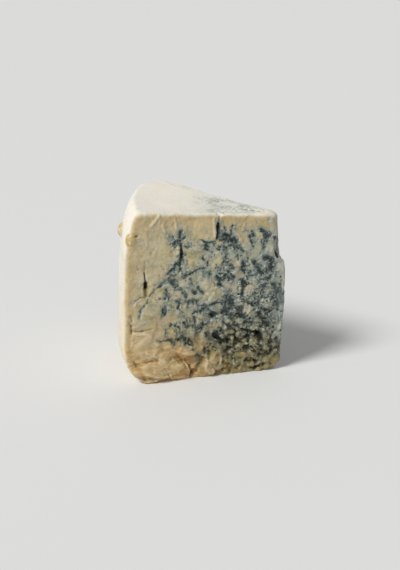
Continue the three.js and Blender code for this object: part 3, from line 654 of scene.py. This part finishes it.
def grid_mesh(name, grid, low_pole, high_pole, values):
    """A closed mesh from a (rows, columns, 3) grid in mm that closes on itself sideways, with a fan of
    triangles from its first row to the low pole and from its last row to the high one. The values are a
    number for each point of the grid, kept under their names."""
    count, columns = grid.shape[:2]
    points = np.concatenate([[low_pole], grid.reshape(-1, 3), [high_pole]]) * MM
    at = 1 + np.arange(count * columns).reshape(count, columns)
    beside = np.roll(at, -1, 1)
    quads = np.stack([at[:-1], beside[:-1], beside[1:], at[1:]], 2).reshape(-1, 4)
    low_fan = np.stack([np.zeros(columns, int), beside[0], at[0]], 1)
    high_fan = np.stack([at[-1], beside[-1], np.full(columns, len(points) - 1)], 1)
    mesh = bpy.data.meshes.new(name)
    mesh.from_pydata(points.tolist(), [], low_fan.tolist() + quads.tolist() + high_fan.tolist())
    mesh.shade_smooth()
    for value_name, value in values.items():
        flat = value.reshape(-1).astype(np.float32)
        attribute = mesh.attributes.new(value_name, "FLOAT", "POINT")
        attribute.data.foreach_set("value", np.concatenate([flat[:1], flat, flat[-1:]]))
    return placed(name, mesh)


low_pole = HEART * np.array([-math.cos(ANGLE / 2), math.sin(ANGLE / 2), 0]) + TIP_AXIS
high_pole = wedge_points[-1].mean(0)
low = cut * fading(z + 6 * noise(20, 61), *LOW_BELOW)
low_skin = fading(z + 8 * noise(25, 67), *LOW_SKIN_BELOW)
inner = fading(s + 6 * noise(18, 89), *INNER_AT)
inner_top = on_top * fading(s + 10 * noise(25, 79), *INNER_TOP_AT)
nose = np.interp(z, POINT_HEIGHTS, POINT_RADII) * (1 / math.sin(ANGLE / 2) - 1)
worn_point = cut * fading(s - nose, 1, 9) * smoothstep(z, 8, 45)
kept = {
    "skin_depth": skin_depth, "growth": growth, "vein": vein, "halo": halo, "rise": rise, "plate": plate,
    "lip_highlight": lip_highlight, "hole_mould_and_shade": channel, "slit_shade_and_smudge": slit_shade_and_smudge, "dab": dab_share, "on_top": on_top, "low": low,
    "low_skin": low_skin, "inner": inner, "inner_top": inner_top, "worn_point": worn_point,
}
wedge = grid_mesh("blue_cheese", wedge_points, low_pole, high_pole, kept)
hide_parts("cheese_wedge")
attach(wedge, "root")

# --------------------------------------------------
# The finish.
# Moist ivory paste, slightly see-through, golden under the skin and tan low down. In it grey-blue halos round
# veins of teal and navy mould that thicken to black, loose specks of it, and the pale dry skin over all.
# --------------------------------------------------
cheese = bpy.data.materials.new("cheese")
cheese.use_nodes = True
nodes, links = cheese.node_tree.nodes, cheese.node_tree.links
shader = nodes["Principled BSDF"]
place = nodes.new("ShaderNodeTexCoord").outputs["Object"]


def plug(socket, value):
    """Links the socket to another, or sets it. A colour is its red, green and blue from 0 to 255, as seen on
    a screen, and is set as light: the power 2.4 of ((c / 255 + 0.055) / 1.055)."""
    if isinstance(value, bpy.types.NodeSocket):
        links.new(value, socket)
    elif isinstance(value, tuple):
        socket.default_value = [((c / 255 + 0.055) / 1.055) ** 2.4 for c in value] + [1]
    else:
        socket.default_value = value


def kept_value(name):
    """One of the numbers kept at each point of the mesh."""
    node = nodes.new("ShaderNodeAttribute")
    node.attribute_name = name
    return node.outputs["Fac"]


def set_inputs(node, values):
    """Sets a node's inputs by their names."""
    for name, value in values.items():
        node.inputs[name].default_value = value


def texture(kind, grain, inputs, shift=(0, 0, 0), turn=0.0, squash=1.0):
    """A texture of that kind with a grain of that size in mm, moved, turned in plan and flattened."""
    moved = nodes.new("ShaderNodeMapping")
    set_inputs(moved, {"Location": shift, "Rotation": (0, 0, turn), "Scale": (1, 1, squash)})
    links.new(place, moved.inputs["Vector"])
    node = nodes.new(kind)
    links.new(moved.outputs["Vector"], node.inputs["Vector"])
    set_inputs(node, {"Scale": 1 / (grain * MM), **inputs})
    return node


def speckle(size, detail=2.0, roughness=0.5, shift=0.0):
    """Noise from 0 to 1 with a grain of that size in mm."""
    inputs = {"Detail": detail, "Roughness": roughness}
    return texture("ShaderNodeTexNoise", size, inputs, (shift, shift * 0.7, -shift)).outputs["Fac"]


def drawn(size, squash, shift=0.0):
    """Noise from 0 to 1 with a grain of that size in mm, that many times flatter than it is wide."""
    return texture("ShaderNodeTexNoise", size, {"Detail": 3.0}, (shift,) * 3, squash=squash).outputs["Fac"]


def wrinkle_wave(spacing, heading, bend):
    """Parallel wrinkles that spacing apart in mm, from 0 to 1, heading that way in plan and bent by noise."""
    inputs = {"Distortion": bend, "Detail": 2.0, "Detail Scale": 0.7}
    return texture("ShaderNodeTexWave", spacing * 10 / math.pi, inputs, turn=heading).outputs["Fac"]


def maths(operation, a, b=0.0, clamp=False):
    """One sum of two values."""
    node = nodes.new("ShaderNodeMath")
    node.operation = operation
    node.use_clamp = clamp
    plug(node.inputs[0], a)
    plug(node.inputs[1], b)
    return node.outputs[0]


def times(a, b):
    """One value times another."""
    return maths("MULTIPLY", a, b)


def rest_of(share):
    """What a share leaves of the whole: 1 less the share, and at least 0."""
    return maths("SUBTRACT", 1.0, share, clamp=True)


def weighed(*pairs):
    """The sum of (value, weight) pairs."""
    total = 0.0
    for value, weight in pairs:
        total = maths("ADD", total, times(value, weight))
    return total


def between(value, low, high):
    """0 below low and 1 above high, with a smooth step between them."""
    node = nodes.new("ShaderNodeMapRange")
    node.interpolation_type = "SMOOTHSTEP"
    plug(node.inputs["Value"], value)
    set_inputs(node, {"From Min": low, "From Max": high})
    return node.outputs["Result"]


def patches(size, low, high, detail=2.0, roughness=0.5, shift=0.0):
    """Patches of that size in mm: 0 where their noise is below low and 1 where it is above high."""
    return between(speckle(size, detail, roughness, shift), low, high)


def swing(size, detail, roughness, shift):
    """Noise from -0.5 to 0.5 with a grain of that size in mm."""
    return maths("SUBTRACT", speckle(size, detail, roughness, shift), 0.5)


def blended(first, second, share):
    """The first colour turning into the second by a share."""
    node = nodes.new("ShaderNodeMix")
    node.data_type = "RGBA"
    plug(node.inputs["Factor"], share)
    plug(node.inputs["A"], first)
    plug(node.inputs["B"], second)
    return node.outputs["Result"]


def layered(under, *layers):
    """The colour under them with (colour, share) layers laid over it in turn."""
    for layer, share in layers:
        under = blended(under, layer, share)
    return under


depth_now, growth_now, vein_now, halo_now, rise_now, low_now, inner_now, lip_highlight_now, point_now = (
    kept_value(name)
    for name in ("skin_depth", "growth", "vein", "halo", "rise", "low", "inner", "lip_highlight", "worn_point")
)

# Paste: ivory in soft patches, drier and golden by the rind, tan low down, and dull or olive near mould.
# In its hollows brown painted shade, and on its crests and along its lips painted highlights.
dry = rest_of(between(depth_now, 3, 16))
tan = blended((190, 147, 82), (216, 184, 126), between(drawn(4, 2, shift=41), 0.4, 0.62))
grown = blended((182, 180, 160), (140, 122, 70), times(low_now, 0.9))
cream = blended((208, 202, 176), (178, 158, 98), low_now)
near_mould = between(weighed((halo_now, 1.0), (growth_now, 0.5)), 0.0, 0.16)
olive_share = times(patches(7, 0.47, 0.58, 3, 0.6, 29), near_mould)
# Painted shade: the brown put into the hollows of the paste.
crease_shade = blended((150, 134, 96), (158, 114, 60), low_now)
# Painted highlight: the pale cream put onto the crests of the paste.
crest_highlight = blended((232, 218, 184), (228, 206, 158), low_now)
dab = blended((190, 162, 92), (226, 214, 180), patches(2.6, 0.5, 0.62, 3, 0.6, 13))
paste = layered(
    blended((205, 190, 150), (217, 203, 168), patches(9, 0.4, 0.62, 3)),
    ((190, 186, 154), times(patches(6, 0.52, 0.66, 3, 0.6, 49), 0.5)),  # greyish
    ((190, 170, 122), times(patches(14, 0.5, 0.66, shift=3), 0.5)),  # tan
    ((206, 180, 126), times(dry, 0.7)),
    ((188, 158, 94), times(patches(8, 0.5, 0.64, 3, 0.6, 83), times(dry, 0.6))),  # golden
    (blended(tan, (154, 132, 82), inner_now), times(low_now, 0.9)),
    ((164, 142, 98), times(patches(2.2, 0.52, 0.7, shift=9), 0.35)),  # brown flecks
    (blended(grown, cream, patches(5, 0.45, 0.62, 3, 0.6, 47)), times(between(growth_now, 0.02, 0.4), 0.85)),
    ((168, 157, 100), times(olive_share, weighed((1.0, 0.65), (low_now, -0.5), (inner_now, -0.35)))),
    ((224, 204, 162), times(kept_value("plate"), 0.35)),
    # painted shade in the hollows
    (crease_shade, times(between(rise_now, -0.2, -1.2), 0.6)),
    # painted highlight on the crests
    (crest_highlight, times(between(rise_now, 0.15, 0.9), weighed((1.0, 0.55), (inner_now, -0.42)))),
    # painted highlight along the tops of the ridges
    ((236, 222, 188), times(lip_highlight_now, 0.5)),
    (dab, times(kept_value("dab"), 0.8)),
)

# Mould: a soft grey-blue bloom, olive low down, and in it small dark colonies, close together along a vein
# and scattered beside it, with fine threads between them. Pale flecks in the bloom and along the tops of the
# ridges are painted glints, as of light on the moist paste.
colony, clump, cloud = swing(1.6, 2, 0.6, 5), swing(5, 3, 0.6, 25), swing(11, 2, 0.5, 33)
blue = between(weighed((cloud, 1.0), (halo_now, 0.12)), -0.18, 0.0)
blue = times(blue, rest_of(times(low_now, 0.88)))
bloom = weighed((halo_now, 1.0), (growth_now, 0.5), (clump, 1.8), (cloud, 1.4), (colony, 0.8))
bloom = between(bloom, 0.0, 1.05)
# Painted glints: pale flecks where the bloom is, and along the tops of the ridges.
painted_glint_share = times(maths("MAXIMUM", patches(1.7, 0.53, 0.63, 2, 0.6, 57), lip_highlight_now), times(bloom, 0.95))
bare_now = times(rest_of(between(growth_now, 0.0, 0.12)), rest_of(vein_now))
thread = between(maths("ABSOLUTE", swing(6, 3, 0.6, 91)), 0.05, 0.012)
thread = times(thread, times(weighed((halo_now, 0.6), (growth_now, 0.6)), rest_of(low_now)))
chunky = times(low_now, inner_now)
thick = weighed(
    (vein_now, 0.8), (halo_now, 0.14), (growth_now, 0.1), (clump, 1.1), (thread, 0.45), (bare_now, -0.3),
    (times(colony, weighed((1.0, 2.7), (chunky, -0.3), (vein_now, -0.9))), 1.0),
    (times(rise_now, chunky), -0.25),
)
murky = blended((84, 88, 62), (90, 80, 44), low_now)
black = blended((34, 38, 22), (36, 31, 14), low_now)


def specks(size, shift, rare, width):
    """Ragged specks, one to a cell of that size in mm, more and wider where the mould grows more freely."""
    cells = texture("ShaderNodeTexVoronoi", size, {}, (shift, -shift, shift * 0.3))
    own = nodes.new("ShaderNodeSeparateColor")
    links.new(cells.outputs["Color"], own.inputs["Color"])
    chance = maths("SUBTRACT", maths("ADD", growth_now, own.outputs[0]), rare, clamp=True)
    edge = weighed((chance, width), (colony, 0.3))
    return between(maths("SUBTRACT", edge, cells.outputs["Distance"]), -0.03, 0.08)


paste = layered(
    paste,
    (blended((122, 117, 74), (126, 142, 136), blue), times(bloom, 0.8)),
    # painted glints in the bloom
    ((210, 213, 198), times(painted_glint_share, weighed((1.0, 1.0), (low_now, -0.6)))),
    (blended(murky, (88, 102, 97), blue), between(thick, 0.32, 0.95)),
    (blended(black, (30, 41, 39), blue), between(thick, 0.84, 1.25)),
    ((148, 160, 156), times(point_now, 0.4)),  # grey smear on the worn thin edge
    ((210, 212, 200), times(times(point_now, between(drawn(3, 0.25), 0.46, 0.6)), 0.7)),
    # near black in the holes: mould, and painted shade
    ((34, 32, 22), between(kept_value("hole_mould_and_shade"), 0.4, 0.95)),
    ((46, 50, 42), specks(3.2, 0.4, 0.74, 0.4)),
)

# Skin: a pale dry layer with a soft tan and grey mottle, greyer and finely wrinkled on the inner top, where
# mould comes through in smudges.
top_now, wrinkle_now, slit_shade_and_smudge_now = kept_value("on_top"), kept_value("inner_top"), kept_value("slit_shade_and_smudge")
wrinkled = times(times(wrinkle_wave(3.0, 0.82, 8.0), wrinkle_now), patches(9, 0.36, 0.6, shift=73))
side_skin = blended((236, 231, 215), (232, 220, 194), kept_value("low_skin"))
top_skin = blended((243, 237, 223), (228, 228, 215), wrinkle_now)
mottle = times(patches(8, 0.48, 0.7, 4, 0.6, 61), 0.5)
pores = times(patches(2.4, 0.62, 0.72, shift=67), weighed((wrinkle_now, 0.3), (top_now, -0.2), (1.0, 0.3)))
mouldy = maths("MAXIMUM", patches(2, 0.34, 0.7, shift=71), between(slit_shade_and_smudge_now, 0.9, 1.2))
skin = layered(
    blended(side_skin, top_skin, top_now),
    ((216, 208, 184), times(mottle, maths("SUBTRACT", 1.2, top_now, clamp=True))),
    ((170, 168, 148), pores),
    ((172, 174, 158), times(between(wrinkled, 0.45, 0.95), 0.4)),
    ((166, 172, 162), times(patches(8, 0.46, 0.66, 4, 0.65, 17), times(wrinkle_now, 0.75))),
    # the mould of the smudges, and painted shade in the slit
    ((112, 113, 96), maths("MULTIPLY", slit_shade_and_smudge_now, mouldy, clamp=True)),
)
links.new(blended(skin, paste, between(depth_now, -0.2, 4.4)), shader.inputs["Base Color"])

# Shine: satin paste with moist patches, duller at the skin.
dull = between(depth_now, 3.5, 1.0)
roughness = weighed((1.0, 0.48), (patches(3, 0.45, 0.65, 3, shift=21), -0.18), (dull, 0.25))
links.new(roughness, shader.inputs["Roughness"])
shader.inputs["Subsurface Weight"].default_value = 0.2
shader.inputs["Subsurface Radius"].default_value = (1.0, 0.6, 0.3)
shader.inputs["Subsurface Scale"].default_value = 3 * MM
shader.inputs["Specular IOR Level"].default_value = 0.5


def raised(height, strength):
    """Relief too fine for the mesh: a height of 0 to 1 seen as half a millimetre, at that strength."""
    node = nodes.new("ShaderNodeBump")
    set_inputs(node, {"Strength": strength, "Distance": 0.5 * MM})
    links.new(height, node.inputs["Height"])
    return node


grain = raised(weighed((speckle(1.8, 3, 0.6, shift=2), 1.0), (between(thick, 0.4, 1.1), -0.5)), 0.5)
wrinkles = raised(wrinkled, 0.7)
links.new(grain.outputs["Normal"], wrinkles.inputs["Normal"])
links.new(wrinkles.outputs["Normal"], shader.inputs["Normal"])
wedge.data.materials.append(cheese)

# --------------------------------------------------
# The view: a camera a little above the cheese and to its left, one broad soft light from the upper left, an
# even white sky and a plain pale floor.
# --------------------------------------------------
LENS, SENSOR = 75.79, 36
CAMERA_AT, LOOKING_AT, ROLL = (-0.26924, -0.80544, 0.3965), (-0.00524, -0.04264, 0.0754), 2.054
LIGHT_STRENGTH, LIGHT_WIDTH, LIGHT_HEADING = 2.36, 18, (1.0, 0.35, -1.15)
SKY_STRENGTH = 0.345
FLOOR_HALF = 8

camera = placed("camera", bpy.data.cameras.new("camera"))
bpy.context.scene.camera = camera
camera.data.lens = LENS
camera.data.sensor_width = SENSOR
camera.location = CAMERA_AT
towards = Vector(LOOKING_AT) - camera.location
roll = Quaternion((0, 0, 1), math.radians(ROLL))
camera.rotation_euler = (towards.to_track_quat("-Z", "Y") @ roll).to_euler()

light = bpy.data.lights.new("key", "SUN")
light.energy = LIGHT_STRENGTH
light.angle = math.radians(LIGHT_WIDTH)
key = placed("key", light)
key.rotation_euler = Vector(LIGHT_HEADING).to_track_quat("-Z", "Y").to_euler()

world = bpy.data.worlds.new("studio")
bpy.context.scene.world = world
world.use_nodes = True
set_inputs(world.node_tree.nodes["Background"], {"Color": (1, 1, 1, 1), "Strength": SKY_STRENGTH})
bpy.context.scene.view_settings.view_transform = "Standard"

floor_mesh = bpy.data.meshes.new("floor")
floor_corners = [(FLOOR_HALF * x, FLOOR_HALF * y, 0) for x, y in ((-1, -1), (1, -1), (1, 1), (-1, 1))]
floor_mesh.from_pydata(floor_corners, [], [(0, 1, 2, 3)])
floor = placed("floor", floor_mesh)
floor_material = bpy.data.materials.new("floor")
floor_material.use_nodes = True
floor_shader = floor_material.node_tree.nodes["Principled BSDF"]
floor_shader.inputs["Base Color"].default_value = (0.8, 0.8, 0.79, 1)
floor_shader.inputs["Roughness"].default_value = 0.9
floor_mesh.materials.append(floor_material)
